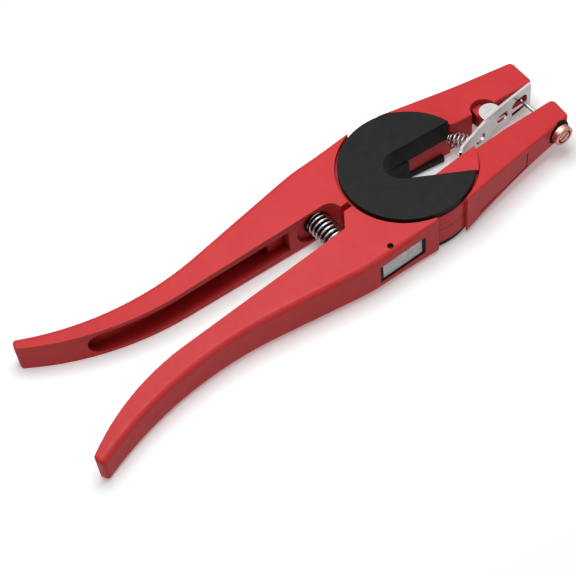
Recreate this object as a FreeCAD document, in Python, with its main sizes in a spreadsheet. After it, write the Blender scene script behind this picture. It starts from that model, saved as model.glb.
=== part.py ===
"""Ear tag applicator: two cast arms that cross on a split drum, with a spring clip and a needle.

Frame: +X from the pivot to the jaws, +Y to the clip jaw, +Z up. The origin is on the pivot axis,
in the plane of the lower disc's face. Shapes are drawn about the parting plane and lifted by mid_z.
"""
import FreeCAD, Part
import math
import os
import re
import Sketcher

V = FreeCAD.Vector
Z_AXIS = V(0, 0, 1)

SIZES = {
    # drum and discs
    "half_thick": 10.3, "disc_proud": 0.6, "disc_rad": 28, "rim_gap": 1.2, "ring_step": 0.6,
    "lap_gap": 0.35, "ring_top": 7.9, "flange_gap": 0.2, "lap_half": 0.15, "hub_rad": 10.4,
    "run_fit": 0.05, "sector_turn": 60, "ring_turn": 64, "cut_past": 8,
    # throat
    "throat_x": -1.3, "throat_y": 1.2, "throat_rad": 7.5, "throat_tilt": 4.66, "lip_tilt": 32,
    "front_tilt": 9, "open_turn": 4.5, "lip_gap": 0.2, "wedge_tip_x": 4.8, "wedge_tip_y": -11.3,
    "wedge_step": 0.3, "wedge_edge_y": -10.2, "low_lip_x": 24, "low_lip_mid_x": 25.3,
    "low_lip_mid_y": 10.6, "low_lip_turn": 28, "low_lip_gap": 0.8,
    # handles, drawn to the +Y side
    "gap_x": -8, "knee_rad": 80, "tip_half": 6.95, "tip_x": -170, "edge_round_hub": 0.6,
    "edge_round": 2.6, "tip_round": 1.4,
    "back_side": 0.9, "back_slope": 8.2, "back_waist_x": -108, "back_waist_y": 19.9,
    "back_waist_rad": 118, "back_tip_out_x": -167.4, "back_tip_in_x": -169.2, "back_grip_x": -105,
    "back_grip_y": 9.1, "back_grip_rad": 120, "back_root_x": -38.5, "back_root_y": 6.4,
    "back_slit_x": -33.1, "back_slit_y": 1.2,
    "front_side": 1.3, "front_slope": 9, "front_waist_x": -108, "front_waist_y": 20.8,
    "front_waist_rad": 160, "front_tip_out_x": -170, "front_tip_in_x": -171.5,
    "front_grip_x": -118, "front_grip_y": 11.1, "front_grip_rad": 100, "front_root_x": -38.4,
    "front_root_y": 8.4, "front_slit_x": -33.5, "front_slit_y": 1.6,
    # channels in the handles' inner faces
    "channel_half": 5.9, "channel_end_x": -145, "channel_start_x": -63, "channel_wall": 3.2,
    "channel_floor_y": 17.6, "step_x": -55, "step_y": 11.4,
    # main spring and its wells
    "spring_x": -42.6, "spring_rad": 5.9, "spring_wire": 0.7, "spring_turns": 8,
    "well_x": -43.2, "well_rad": 8, "back_well_y": 8.7, "front_well_y": 12.4,
    # jaws
    "jaw_mid_half": 6.7, "jaw_tip_half": 5.4, "jaw_taper_x": 9,
    "jaw_mid_x": 43.5, "jaw_tip_x": 72, "jaw_bow": 300, "jaw_round": 1,
    "jaw_corner": 2.2, "needle_jaw_x": 7, "needle_jaw_bow": 700, "needle_jaw_side_x": 69.6,
    "needle_jaw_side_y": 20.4, "needle_jaw_end_x": 70.9, "needle_jaw_end_y": 9.2,
    "needle_jaw_face_x": 44, "needle_jaw_face_y": 9.1, "needle_jaw_root_x": 4.4,
    "needle_jaw_root_y": 11.6, "clip_jaw_x": 6.5, "clip_jaw_drop": 0.5, "clip_jaw_root_x": 4,
    "clip_jaw_root_y": 12, "clip_jaw_wall_x": 22, "clip_jaw_wall_y": 7.6, "clip_jaw_seat_x": 31,
    "clip_jaw_seat_y": 5.4, "clip_jaw_face_x": 52, "clip_jaw_face_y": 4.4, "clip_jaw_end_x": 71.2,
    "clip_jaw_end_y": 3.4, "clip_jaw_side_x": 71.9, "clip_jaw_side_y": 17.5,
    # clip plate, its hinge and spring
    "plate_thick": 1.2, "plate_half": 7.3, "bend_x": 46.5, "bend_y": 0.3, "front_leg": 22.2,
    "front_leg_tilt": 4.9, "rear_leg": 22.6, "rear_leg_tilt": 14.7, "curl_leg": 3.2,
    "curl_tilt": 38, "hinge_x": 45, "hinge_y": 3.6, "hinge_pin_rad": 1.25, "ear_rad": 2.5,
    "ear_low": 3.9, "ear_top": 5.1, "lug_half": 3.6, "lug_rad": 2.6, "notch_rad": 5.8,
    "notch_y": 4.2, "tab_low": 6.9, "tab_top": 7.9, "tab_x": 45.2, "tab_rad": 4.6, "tab_y": 0.9,
    "coil_x": 27.5, "coil_y": 6.7, "coil_seat_rad": 2.9, "coil_end_x": 32.5, "coil_end_y": -2.3, "coil_small": 1.8,
    "coil_big": 3.6, "coil_wire": 0.4, "coil_turns": 5,
    # openings in the clip plate
    "slot_low": 4.5, "slot_left": 57.5, "slot_right": 66.5, "slot_side": 0.8, "slot_top": 3.5,
    "slot_round": 2.7, "oval_half": 2.2, "front_oval_x": 51.8, "front_oval_half": 3.2,
    "rear_oval_x": 37.4, "rear_oval_half": 3, "end_hole_x": 29, "end_hole_rad": 1.5,
    # needle and knob
    "needle_x": 63.7, "needle_rad": 0.9, "needle_tip_y": 5.9, "needle_cone": 4, "bush_rad": 2.4,
    "spot_y": 19.6, "spot_rad": 5.7, "ring_tube": 0.9, "ring_mid": 4.6, "knob_edge": 0.5,
    "knob_rad": 4.5, "knob_long": 3.3, "stem_rad": 3.2, "stem_long": 4.3,
    "needle_root": 15, "bush_long": 5.6, "knob_slot": 0.8, "knob_slot_long": 2.6,
    # window in the front handle
    "window_left": -37.6, "window_right": -14.7, "window_top": 4.2, "window_low": -5.6,
    "window_deep": 3, "window_plate": 2.1, "window_end_gap": 1.1, "window_side_gap": 0.4,
    "roll_x": -30.3, "roll_y": 26.7, "roll_rad": 1.3,
    # screws that hold the discs
    "screw_rad": 1.5, "screw_head": 2.8, "screw_head_tall": 1.6, "screw_reach": 4.5,
    "screw_inset": 6.5,
    # panel line on the front jaw
    "line_wide": 0.9, "line_deep": 0.55, "line_long": 30, "line_tall": 8.4, "line_low": -5.1,
    "line_fall": 1.5, "panel_x": 15, "panel_in": 1.5, "panel_turn": 8.34,
}

# Sizes that follow from the ones above.
FOLLOWING = {
    "mid_z": "half_thick + disc_proud",
    "ring_rad": "disc_rad + ring_step",
    "lap_rad": "ring_rad + lap_gap",
    "recess_rad": "disc_rad + rim_gap",
    "wedge_rad": "ring_rad + wedge_step",
    "flange_low": "ring_top + flange_gap",
    "bore_rad": "hub_rad + run_fit",
    "sector_in": "hub_rad - 0.5",
    "back_hub_y": "disc_rad + back_side",
    "front_hub_y": "disc_rad + front_side",
    "screw_circle": "disc_rad - screw_inset",
    "low_tilt": "throat_tilt + open_turn",
    "wedge_edge_x": "sqrt(wedge_rad^2 - wedge_edge_y^2)",
    "far_out": "recess_rad + cut_past",
}

doc = FreeCAD.newDocument("ear_tag_applicator")
sheet = doc.addObject("Spreadsheet::Sheet", "Sizes")
for row, (alias, number) in enumerate([*SIZES.items(), *FOLLOWING.items()], 1):
    sheet.set(f"A{row}", alias)
    sheet.set(f"B{row}", f"={number}" if alias in FOLLOWING else str(number))
    sheet.setAlias(f"B{row}", alias)
doc.recompute()


def bound(text):
    """The same formula with each size written as a reference to the sheet."""
    def reference(word):
        return "Sizes." + word[0] if word[0] in SIZES or word[0] in FOLLOWING else word[0]

    return re.sub(r"[a-z_]+", reference, str(text))


def size(text):
    """The present value of a formula of sizes."""
    found = sheet.evalExpression(bound(text))
    return float(getattr(found, "Value", found))


def bind(thing, **formulas):
    for name, text in formulas.items():
        thing.setExpression(name.replace("__", "."), bound(text))


def add_loop(sketch, corners):
    """Close a loop of lines and arcs. A corner is x, y and, for an arc to the next corner, its
    radius: positive turns left, and a leading ! takes the longer way round."""
    first = sketch.GeometryCount
    count = len(corners)
    flipped = []
    for index, corner in enumerate(corners):
        following = corners[(index + 1) % count]
        start = V(size(corner[0]), size(corner[1]), 0)
        end = V(size(following[0]), size(following[1]), 0)
        if len(corner) == 2:
            sketch.addGeometry(Part.LineSegment(start, end))
            flipped.append(False)
            continue
        long_way = corner[2].startswith("!")
        radius = size(corner[2].lstrip("!"))
        chord = end - start
        rise = math.sqrt(max(radius ** 2 - chord.Length ** 2 / 4, 0))
        left = V(-chord.y, chord.x, 0).normalize()
        side = 1 if (radius > 0) != long_way else -1
        centre = (start + end) * 0.5 + left * (rise * side)
        one = math.atan2(start.y - centre.y, start.x - centre.x)
        two = math.atan2(end.y - centre.y, end.x - centre.x)
        flip = radius < 0
        if flip:
            one, two = two, one
        circle = Part.Circle(centre, Z_AXIS, abs(radius))
        sketch.addGeometry(Part.ArcOfCircle(circle, one, two))
        flipped.append(flip)
    for index, corner in enumerate(corners):
        here = first + index
        after = first + (index + 1) % count
        near = 2 if flipped[index] else 1
        far = 1 if flipped[index] else 2
        after_near = 2 if flipped[(index + 1) % count] else 1
        sketch.addConstraint(Sketcher.Constraint("Coincident", here, far, after, after_near))
        for kind, text in (("DistanceX", corner[0]), ("DistanceY", corner[1])):
            rule = sketch.addConstraint(Sketcher.Constraint(kind, here, near, size(text)))
            sketch.setExpression(f"Constraints[{rule}]", bound(text))
        if len(corner) == 3:
            text = f"abs({corner[2].lstrip('!')})"
            rule = sketch.addConstraint(Sketcher.Constraint("Radius", here, size(text)))
            sketch.setExpression(f"Constraints[{rule}]", bound(text))


def add_circle(sketch, across, up, radius):
    circle = Part.Circle(V(size(across), size(up), 0), Z_AXIS, size(radius))
    here = sketch.addGeometry(circle)
    for kind, text in (("DistanceX", across), ("DistanceY", up)):
        rule = sketch.addConstraint(Sketcher.Constraint(kind, here, 3, size(text)))
        sketch.setExpression(f"Constraints[{rule}]", bound(text))
    rule = sketch.addConstraint(Sketcher.Constraint("Radius", here, size(radius)))
    sketch.setExpression(f"Constraints[{rule}]", bound(radius))


def new_body(label):
    body = doc.addObject("PartDesign::Body", label)
    body.Label = label
    return body


def sketch_on(body, name, plane, loops, lift="0"):
    """A sketch on one of the body's own planes. A loop of three texts is a circle."""
    sketch = body.newObject("Sketcher::SketchObject", name)
    base = [item for item in body.Origin.OriginFeatures if item.Role == plane + "_Plane"][0]
    sketch.AttachmentSupport = [(base, "")]
    sketch.MapMode = "FlatFace"
    bind(sketch, AttachmentOffset__Base__z=lift)
    for loop in loops:
        if isinstance(loop[0], str):
            add_circle(sketch, *loop)
        else:
            add_loop(sketch, loop)
    doc.recompute()
    return sketch


def pad(body, name, plane, loops, length, lift="0", both=False):
    feature = body.newObject("PartDesign::Pad", name)
    feature.Profile = sketch_on(body, name + "_outline", plane, loops, lift)
    feature.SideType = "Symmetric" if both else "One side"
    bind(feature, Length=length)
    body.Tip = feature
    doc.recompute()
    return feature


def pocket(body, name, plane, loops, length=None, lift="0", ahead=False):
    """A cut through everything, or from the sketch for a length, ahead being along its normal."""
    before = body.Shape.Volume
    feature = body.newObject("PartDesign::Pocket", name)
    feature.Profile = sketch_on(body, name + "_outline", plane, loops, lift)
    if length is None:
        feature.Type = "ThroughAll"
        feature.SideType = "Symmetric"
    else:
        bind(feature, Length=length)
        feature.Reversed = ahead
    body.Tip = feature
    doc.recompute()
    if not feature.Shape.Volume < before - 0.01:
        raise RuntimeError(f"{body.Label}: {name} cuts nothing")
    return feature


def turned(label, profile, name="turning"):
    """A body turned about its own Z axis from corners of radius and height."""
    body = new_body(label)
    feature = body.newObject("PartDesign::Revolution", name)
    outline = sketch_on(body, name + "_outline", "XZ", [profile])
    feature.Profile = outline
    feature.ReferenceAxis = (outline, ["V_Axis"])
    feature.Angle = 360
    body.Tip = feature
    doc.recompute()
    return body


def lifted(thing, across="0", along="0", up="0", axis=None):
    """Put a thing at a place given from the parting plane, its Z axis turned to a direction."""
    if axis is not None:
        thing.Placement = FreeCAD.Placement(V(), FreeCAD.Rotation(Z_AXIS, axis))
    bind(thing, Placement__Base__x=across, Placement__Base__y=along)
    bind(thing, Placement__Base__z=f"mid_z + ({up})")
    return thing


def cylinder(name, radius, low, high, across="0", along="0"):
    thing = doc.addObject("Part::Cylinder", name)
    bind(thing, Radius=radius, Height=f"({high}) - ({low})")
    bind(thing, Placement__Base__x=across, Placement__Base__y=along, Placement__Base__z=low)
    return thing


def fused(name, shapes):
    thing = doc.addObject("Part::MultiFuse", name)
    thing.Shapes = shapes
    doc.recompute()
    return thing


def cut(name, base, tool):
    thing = doc.addObject("Part::Cut", name)
    thing.Base = base
    thing.Tool = tool
    doc.recompute()
    return thing


def common(name, shapes):
    thing = doc.addObject("Part::MultiCommon", name)
    thing.Shapes = shapes
    doc.recompute()
    return thing


def rounded(name, base, wanted, first, last=None):
    """A fillet on the edges that the test picks. Its radius can run from one size, at the end
    nearer the pivot, to another, which then holds along the tangent edges that follow."""
    thing = doc.addObject("Part::Fillet", name)
    thing.Base = base
    near = size(first)
    far = size(last) if last else near
    edges = []
    for number, edge in enumerate(base.Shape.Edges, 1):
        if wanted(edge, edge.CenterOfMass):
            outward = edge.valueAt(edge.FirstParameter).x > edge.valueAt(edge.LastParameter).x
            edges.append((number, near, far) if outward else (number, far, near))
    if not edges:
        raise RuntimeError(f"{name} found no edge")
    thing.Edges = edges
    doc.recompute()
    if thing.Shape.isNull():
        raise RuntimeError(f"{name} gives no shape")
    return thing


# ---------------------------------------------------------------- throat lines



def back_distance(tilt):
    """How far the throat's back line at a tilt passes from the pivot."""
    return f"(throat_rad + throat_x*sin({tilt}) + throat_y*cos({tilt}))"


def on_back_line(radius, tilt="throat_tilt"):
    """Where the throat's back line meets a circle about the pivot."""
    angle = f"(90 deg - {tilt}*1 deg - acos({back_distance(tilt)}/({radius})))"
    return f"({radius})*cos({angle})", f"({radius})*sin({angle})"


def on_front_line(radius, tilt, away="0"):
    """Where a line that leaves the throat's round end at a tilt meets such a circle."""
    dist = f"(throat_rad - throat_x*sin({tilt}) - throat_y*cos({tilt}) + {away})"
    angle = f"(-90 deg - {tilt}*1 deg + acos({dist}/({radius})))"
    return f"({radius})*cos({angle})", f"({radius})*sin({angle})"


def throat_touch(tilt, back):
    """Where a throat line touches the round end."""
    if back:
        return f"throat_x + throat_rad*sin({tilt})", f"throat_y + throat_rad*cos({tilt})"
    return f"throat_x - throat_rad*sin({tilt})", f"throat_y - throat_rad*cos({tilt})"


def polar(radius, angle):
    return f"({radius})*cos({angle})", f"({radius})*sin({angle})"


def back_line_at(across, tilt="throat_tilt"):
    """The point of the throat's back line at a given x."""
    return across, f"({back_distance(tilt)} - ({across})*sin({tilt}))/cos({tilt})"


UPPER_SCREWS = ("33", "50")
LOWER_SCREWS = ("-39", "-57")


def screw_circles(turns, radius):
    return [(*polar("screw_circle", turn), radius) for turn in turns]


# ---------------------------------------------------------------- handles


def handle(side, sign):
    """One handle: a waisted outline, tapered in thickness, with its outer edges rounded."""
    def at(name):
        return f"{side}_{name}"

    def flip(text):
        return text if sign > 0 else f"-({text})"

    slope = at("slope")
    low_x = f"({at('waist_x')} + {at('waist_rad')}*sin({slope}))"
    low_y = f"({at('waist_y')} + {at('waist_rad')}*(1 - cos({slope})))"
    knee_x = f"({low_x} + ({at('hub_y')} - {low_y})/tan({slope}))"
    reach = f"(knee_rad*tan({slope}/2))"
    run_out = f"({at('waist_x')} - {at('tip_out_x')})"
    tip_y = f"{at('waist_y')} + {at('waist_rad')} - sqrt({at('waist_rad')}^2 - {run_out}^2)"
    lean = f"(atan(({at('grip_y')} - {at('root_y')})/({at('root_x')} - {at('grip_x')})))"
    bow_x = f"({at('grip_x')} - {at('grip_rad')}*sin(-1*{lean}))"
    bow_y = f"({at('grip_y')} + {at('grip_rad')}*cos({lean}))"
    tip_in_y = f"{bow_y} - sqrt({at('grip_rad')}^2 - ({bow_x} - {at('tip_in_x')})^2)"
    turn = "" if sign > 0 else "-1*"
    back = "-1*" if sign > 0 else ""
    outline = [
        ("gap_x", flip(at("hub_y"))),
        (f"{knee_x} + {reach}", flip(at("hub_y")), f"{turn}knee_rad"),
        (f"{knee_x} - {reach}*cos({slope})", flip(f"{at('hub_y')} - {reach}*sin({slope})")),
        (low_x, flip(low_y), f"{back}{at('waist_rad')}"),
        (at("tip_out_x"), flip(tip_y)),
        (at("tip_in_x"), flip(tip_in_y), f"{turn}{at('grip_rad')}"),
        (at("grip_x"), flip(at("grip_y"))),
    ]
    if side == "back":
        corner = f"-1*({at('root_y')} - {at('slit_y')})"
        outline.append((at("root_x"), at("root_y"), corner))
    else:
        outline.append((at("root_x"), flip(at("root_y"))))
    outline += [(at("slit_x"), flip(at("slit_y"))), ("gap_x", flip(at("slit_y")))]
    blank = new_body(side + "_handle_blank")
    pad(blank, "thickness", "XY", [outline], "2*half_thick", both=True)
    for name, up in (("top", "1"), ("under", "-1")):
        wedge = [("gap_x + 1", f"{up}*half_thick*1.0001"), ("gap_x + 1", f"{up}*2*half_thick"),
                 ("tip_x - 6", f"{up}*2*half_thick"),
                 ("tip_x - 6", f"{up}*(tip_half - 6*(half_thick - tip_half)/(gap_x - tip_x))")]
        pocket(blank, name + "_taper", "XZ", [wedge])
    return blank


def rounded_handle(side, sign):
    """The handle with its outer edges rounded, more so away from the drum, and its tip eased."""
    blank = handle(side, sign)
    hub_y = size(side + "_hub_y")

    def beside_drum(edge, centre):
        return abs(centre.z) > 3 and abs(sign * centre.y - hub_y) < 0.01 and edge.BoundBox.XLength > 5

    def at_tip(edge, centre):
        return edge.BoundBox.XMax < size(side + "_tip_out_x") + 3

    sides = rounded(side + "_handle_sides", blank, beside_drum, "edge_round_hub", "edge_round")
    return rounded(side + "_handle", sides, at_tip, "tip_round")


def channel(side, sign):
    """The cutter for the long channel in a handle's inner face, with a shallow step at its end."""
    def at(name):
        return f"{side}_{name}"

    def flip(text):
        return text if sign > 0 else f"-({text})"

    wall_rad = f"({at('waist_rad')} + channel_wall)"
    centre_y = f"({at('waist_y')} + {at('waist_rad')})"
    end_run = f"({at('waist_x')} - channel_end_x)"
    end_y = f"{centre_y} - sqrt({wall_rad}^2 - {end_run}^2)"
    floor_x = f"{at('waist_x')} + 14"
    floor_y = f"{centre_y} - sqrt({wall_rad}^2 - 14^2)"
    turn = "-1*" if sign > 0 else ""
    plan = [
        ("channel_end_x", "0"), ("step_x", "0"), ("step_x", flip("step_y")),
        ("channel_start_x", flip("step_y")), ("channel_start_x", flip("channel_floor_y")),
        (floor_x, flip(floor_y), f"{turn}{wall_rad}"), ("channel_end_x", flip(end_y)),
    ]
    body = new_body(side + "_channel_plan")
    pad(body, "depth", "XY", [plan], "2*channel_half", both=True)
    round_end = "channel_end_x + channel_half"
    slot = [
        (round_end, "channel_half", "channel_half"), ("channel_end_x", "0", "channel_half"),
        (round_end, "-channel_half"), ("step_x + 1", "-channel_half"), ("step_x + 1", "channel_half"),
    ]
    side_view = new_body(side + "_channel_side")
    pad(side_view, "width", "XZ", [slot], "200", both=True)
    return common(side + "_channel", [body, side_view])


# ---------------------------------------------------------------- jaws


def jaw(label, outline, corners):
    """A jaw: its plan drawn flat, then thinned from the drum to the tip on both faces."""
    body = new_body(label + "_blank")
    pad(body, "thickness", "XY", [outline], "2*half_thick", both=True)
    near = "atan((half_thick - jaw_mid_half)/(jaw_mid_x - jaw_taper_x))"
    far = "atan((jaw_mid_half - jaw_tip_half)/(jaw_tip_x - jaw_mid_x))"
    reach = f"(jaw_bow*tan(({near} - {far})/2))"
    for name, up in (("top", "1"), ("under", "-1")):
        wedge = [
            ("jaw_taper_x", f"{up}*half_thick*1.0001"),
            (f"jaw_mid_x - {reach}*cos({near})", f"{up}*(jaw_mid_half + {reach}*sin({near}))",
             f"{up}*jaw_bow"),
            (f"jaw_mid_x + {reach}*cos({far})", f"{up}*(jaw_mid_half - {reach}*sin({far}))"),
            ("jaw_tip_x + 2", f"{up}*(jaw_tip_half - 2*tan({far}))"),
            ("jaw_tip_x + 2", f"{up}*2*half_thick"), ("jaw_taper_x", f"{up}*2*half_thick"),
        ]
        pocket(body, name + "_taper", "XZ", [wedge])

    def corner(edge, centre):
        upright = edge.BoundBox.XLength < 0.1 and edge.BoundBox.ZLength > 5
        return upright and centre.x > size("jaw_mid_x") + 20

    tips = rounded(label + "_corners", body, corner, corners)

    def outside(edge, centre):
        flat = edge.BoundBox.ZLength < 4 and edge.BoundBox.XLength > 8
        return flat and abs(centre.z) > 3 and abs(centre.y) > 15.5

    return rounded(label, tips, outside, "jaw_round")


NEEDLE_JAW = [
    ("needle_jaw_x", "-1*front_hub_y", "-1*needle_jaw_bow"),
    ("needle_jaw_side_x", "-1*needle_jaw_side_y"), ("needle_jaw_end_x", "-1*needle_jaw_end_y"),
    ("needle_jaw_face_x", "-1*needle_jaw_face_y"), ("wedge_edge_x", "wedge_edge_y"),
    ("needle_jaw_root_x", "-1*needle_jaw_root_y"),
]
CLIP_JAW = [
    ("clip_jaw_x", "back_hub_y - clip_jaw_drop"), ("clip_jaw_root_x", "clip_jaw_root_y"),
    ("clip_jaw_wall_x", "clip_jaw_wall_y"), ("clip_jaw_seat_x", "clip_jaw_seat_y"),
    ("clip_jaw_face_x", "clip_jaw_face_y"), ("clip_jaw_end_x", "clip_jaw_end_y"),
    ("clip_jaw_side_x", "clip_jaw_side_y"),
]


# ---------------------------------------------------------------- arms


def arm_blank(side, pieces, up):
    """Handle and jaw of one arm, cleared for the other arm's ring and both discs, with its ring."""
    whole = fused(side + "_handle_and_jaw", pieces)
    limit = "(half_thick + 1)"
    if up > 0:
        lap = cylinder(side + "_lap", "lap_rad", f"-1*{limit}", "lap_half")
        near = cylinder(side + "_recess", "recess_rad", "ring_top", limit)
        far = cylinder(side + "_far_recess", "recess_rad", f"-1*{limit}", "-1*flange_low")
        ring = cylinder(side + "_ring", "ring_rad", "lap_half", "ring_top")
    else:
        lap = cylinder(side + "_lap", "lap_rad", "-1*lap_half", limit)
        near = cylinder(side + "_recess", "recess_rad", f"-1*{limit}", "-1*ring_top")
        far = cylinder(side + "_far_recess", "recess_rad", "flange_low", limit)
        ring = cylinder(side + "_ring", "ring_rad", "-1*ring_top", "-1*lap_half")
    cleared = cut(side + "_cleared", whole, fused(side + "_room", [lap, near, far]))
    return fused(side + "_blank", [cleared, ring])


def arm_body(label, blank):
    body = new_body(label)
    body.BaseFeature = blank
    doc.recompute()
    return body


def panel_line():
    """The cutter for the shallow bent groove in the front jaw's outer side."""
    body = new_body("panel_line")
    bend = [("0", "line_low - line_fall"), ("line_long", "line_low"),
            ("line_long", "line_low + line_tall"), ("line_long - line_wide", "line_low + line_tall"),
            ("line_long - line_wide", "line_low + line_wide"),
            ("0", "line_low - line_fall + line_wide")]
    pad(body, "groove", "XZ", [bend], "4", lift="-1*line_deep")
    body.Placement.Rotation = FreeCAD.Rotation(Z_AXIS, size("panel_turn"))
    bind(body, Placement__Base__x="panel_x", Placement__Base__y="panel_in - front_hub_y")
    doc.recompute()
    return body


def needle_arm():
    """The arm with the back handle and the front jaw: it carries the upper ring and the wedge."""
    grip = cut("back_handle_open", rounded_handle("back", 1), channel("back", 1))
    nose = cut("needle_jaw_lined", jaw("needle_jaw", NEEDLE_JAW, "jaw_corner"), panel_line())
    blank = arm_blank("upper", [grip, nose], 1)
    body = arm_body("needle_arm", blank)
    pocket(body, "bore", "XY", [("0", "0", "bore_rad")], "ring_top + 3", ahead=True)
    mouth = [("0", "0"), ("wedge_tip_x - 2", "wedge_tip_y"), ("wedge_tip_x", "wedge_tip_y"),
             ("wedge_edge_x", "wedge_edge_y"), ("recess_rad + 2", "wedge_edge_y"),
             ("far_out", "disc_rad"), polar("far_out", "ring_turn")]
    pocket(body, "mouth", "XY", [mouth], "half_thick + 1", ahead=True)
    wedge = [("wedge_tip_x", "wedge_tip_y"),
             (*on_front_line("wedge_rad", "lip_tilt", "-1*lip_gap"), "wedge_rad"),
             ("wedge_edge_x", "wedge_edge_y")]
    pad(body, "wedge", "XY", [wedge], "half_thick - lap_half", lift="lap_half")
    pocket(body, "spring_well", "XZ", [("well_x", "0", "well_rad")], "back_well_y + 20",
           lift="20")
    pocket(body, "knob_seat", "XZ", [("needle_x", "0", "spot_rad")], "8", lift="spot_y", ahead=True)
    pocket(body, "stem_bore", "XZ", [("needle_x", "0", "stem_rad + run_fit")], "spot_y - needle_root",
           lift="spot_y")
    pocket(body, "bush_bore", "XZ", [("needle_x", "0", "bush_rad")], "20", lift="needle_root")
    pocket(body, "screw_taps", "XY", screw_circles(LOWER_SCREWS, "screw_rad"), "screw_reach",
           ahead=True)
    return lifted(body)


def spring_seat():
    """The cutter for the round seat of the clip spring in the back jaw's inner wall."""
    seat = cylinder("coil_seat", "coil_seat_rad", "0", "5", "coil_x", "coil_y")
    axis = V(size("coil_end_x - coil_x"), size("coil_end_y - coil_y"), 0)
    seat.Placement = FreeCAD.Placement(seat.Placement.Base, FreeCAD.Rotation(Z_AXIS, axis))
    return seat


def clip_arm():
    """The arm with the front handle and the back jaw: it carries the lower ring and the clip."""
    grip = cut("front_handle_open", rounded_handle("front", -1), channel("front", -1))
    nose = jaw("clip_jaw", CLIP_JAW, "jaw_corner")
    blank = cut("lower_seated", arm_blank("lower", [grip, nose], -1), spring_seat())
    body = arm_body("clip_arm", blank)
    pocket(body, "bore", "XY", [("0", "0", "bore_rad")], "ring_top + 3")
    back_start = throat_touch("throat_tilt", True)
    mouth = [back_start, ("0", "0"), polar("far_out", "-1*ring_turn"), ("far_out", "-1*disc_rad"),
             ("recess_rad + lip_gap", "0"), on_back_line("recess_rad + lip_gap")]
    pocket(body, "mouth", "XY", [mouth], "half_thick + 1", lift="0")
    rim = [(*on_back_line("recess_rad"), "recess_rad"), polar("recess_rad", "low_lip_turn - 1"),
           ("low_lip_mid_x + low_lip_gap", "low_lip_mid_y - low_lip_gap"),
           back_line_at("low_lip_x + low_lip_gap")]
    pad(body, "low_wedge", "XY", [rim], "half_thick - 1 - lap_half", lift="-1*half_thick + 0.1")
    pocket(body, "spring_well", "XZ", [("well_x", "0", "well_rad")], "front_well_y + 20",
           lift="-20", ahead=True)
    window = [("window_left", "window_low"), ("window_right", "window_low"),
              ("window_right", "window_top"), ("window_left", "window_top")]
    pocket(body, "window", "XZ", [window], "10", lift="front_hub_y - window_deep", ahead=True)
    pocket(body, "roll_pin_hole", "XY", [("roll_x", "-1*roll_y", "roll_rad")], "8",
           lift="window_top - 0.5", ahead=True)
    pocket(body, "clip_notch", "XY", [("hinge_x", "notch_y", "notch_rad")])
    lug = [("hinge_x - lug_rad", "hinge_y", "lug_rad"), ("hinge_x", "hinge_y - lug_rad", "lug_rad"),
           ("hinge_x + lug_rad", "hinge_y"),
           ("hinge_x + lug_rad", "notch_y + notch_rad + 1"),
           ("hinge_x - lug_rad", "notch_y + notch_rad + 1")]
    pad(body, "clip_lug", "XY", [lug], "2*lug_half", both=True)
    pocket(body, "hinge_bore", "XY", [("hinge_x", "hinge_y", "hinge_pin_rad")])
    tunnel = [("needle_x - 3.4", "-2.2"), ("needle_x + 1.9", "-2.2"), ("needle_x + 1.9", "2.2"),
              ("needle_x - 3.4", "2.2")]
    pocket(body, "needle_tunnel", "XZ", [tunnel], "15")
    pocket(body, "screw_holes", "XY", screw_circles(UPPER_SCREWS, "screw_rad"), "half_thick")
    pocket(body, "screw_heads", "XY", screw_circles(UPPER_SCREWS, "screw_head"), "4",
           lift="-1*ring_top + screw_head_tall")
    return lifted(body)


# ---------------------------------------------------------------- pivot discs


def throat_corners(radius, back_tilt, front_tilt):
    """A disc's plan: the rim, the throat's back line, its round end and its front line."""
    return [
        on_back_line(radius, back_tilt),
        (*throat_touch(back_tilt, True), "throat_rad"),
        throat_touch(front_tilt, False),
        (*on_front_line(radius, front_tilt), f"!-1*{radius}"),
    ]


def disc(label, back_tilt, front_tilt, up):
    """A pivot disc: flange, bearing hub and, beside the throat, a thick sector to the other arm."""
    body = new_body(label)
    lift = "flange_low" if up > 0 else "-1*mid_z"
    plan = throat_corners("disc_rad", back_tilt, front_tilt)
    pad(body, "flange", "XY", [plan], "mid_z - flange_low", lift=lift)
    hub = throat_corners("hub_rad", back_tilt, front_tilt)
    hub_low = "lap_half" if up > 0 else "-1*flange_low - 0.5"
    pad(body, "hub", "XY", [hub], "flange_low + 0.5 - lap_half", lift=hub_low)
    if up > 0:
        sector = [on_back_line("sector_in", back_tilt), (*on_back_line("disc_rad", back_tilt), "disc_rad"),
                  polar("disc_rad", "sector_turn"),
                  (*polar("sector_in", "sector_turn"), "-1*sector_in")]
    else:
        sector = [on_front_line("sector_in", front_tilt),
                  (*on_front_line("disc_rad", front_tilt), "-1*disc_rad"),
                  polar("disc_rad", "-1*sector_turn"),
                  (*polar("sector_in", "-1*sector_turn"), "sector_in")]
    low = "-1*lap_half" if up > 0 else "-1*flange_low - 0.5"
    pad(body, "sector", "XY", [sector], "flange_low + 0.5 + lap_half", lift=low)
    return body


def upper_disc():
    body = disc("upper_disc", "throat_tilt", "lip_tilt", 1)
    pocket(body, "screw_taps", "XY", screw_circles(UPPER_SCREWS, "screw_rad"),
           "screw_reach + lap_half + 0.1", lift="-1*lap_half - 0.1", ahead=True)
    return lifted(body)


def lower_disc():
    body = disc("lower_disc", "low_tilt", "front_tilt", -1)
    corner = [back_line_at("low_lip_x", "low_tilt"), ("low_lip_mid_x", "low_lip_mid_y"),
              polar("recess_rad", "low_lip_turn"), ("far_out", "low_lip_mid_y"), ("far_out", "0")]
    pocket(body, "lip_corner", "XY", [corner], "mid_z + 1")
    pocket(body, "screw_holes", "XY", screw_circles(LOWER_SCREWS, "screw_rad"), "mid_z + 1",
           lift="lap_half + 0.1")
    pocket(body, "screw_heads", "XY", screw_circles(LOWER_SCREWS, "screw_head"), "4",
           lift="-1*mid_z + screw_head_tall")
    return lifted(body)


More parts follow.
